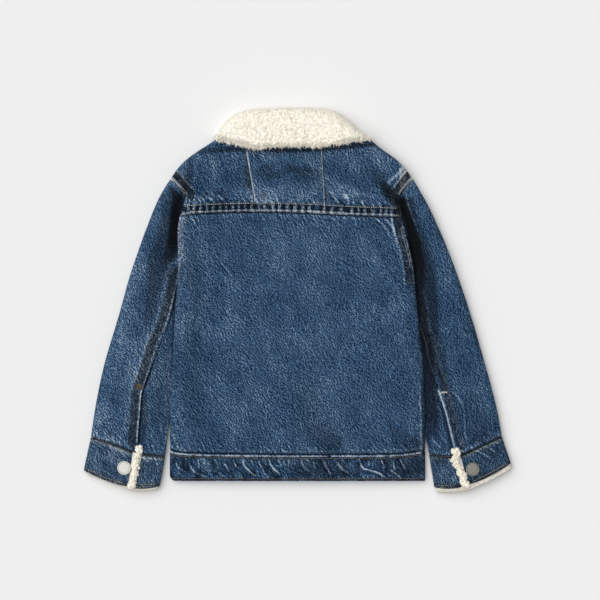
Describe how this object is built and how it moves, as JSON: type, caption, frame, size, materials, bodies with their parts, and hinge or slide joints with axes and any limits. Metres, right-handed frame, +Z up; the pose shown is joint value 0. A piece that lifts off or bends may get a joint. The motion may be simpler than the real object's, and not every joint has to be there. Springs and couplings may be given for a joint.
{
  "type": "sherpa lined denim jacket",
  "caption": "Child's denim jacket with a sherpa collar and lining, laid flat and face down with its back up, sleeves at its sides.",
  "frame": {"origin": "on the surface the jacket lies on, below the middle of its outline", "axes": "+X towards the wearer's right hand, +Y towards the collar, +Z up out of the back"},
  "size_m": [0.5148, 0.466, 0.027],
  "materials": {
    "denim": "mid blue denim twill, faded along seams and edges",
    "sherpa": "cream curly pile",
    "snap": "satin pressed metal cap"
  },
  "bodies": {
    "root": {"yoke_left": "denim", "yoke_center": "denim", "yoke_right": "denim", "back_panel": "denim", "front_left": "denim", "front_right": "denim", "placket": "denim", "waistband": "denim", "upper_sleeve_left": "denim", "upper_sleeve_right": "denim", "under_sleeve_left": "denim", "under_sleeve_right": "denim", "cuff_left": "denim", "cuff_right": "denim", "under_collar": "denim", "cuff_lining_left": "sherpa", "cuff_lining_right": "sherpa", "collar_fall": "sherpa", "collar_leaf_left": "sherpa", "collar_leaf_right": "sherpa", "snap_left": "snap", "snap_right": "snap", "front_snap_1": "snap", "front_snap_2": "snap", "front_snap_3": "snap", "front_snap_4": "snap", "front_snap_5": "snap", "front_snap_6": "snap"}
  },
  "joints": []
}
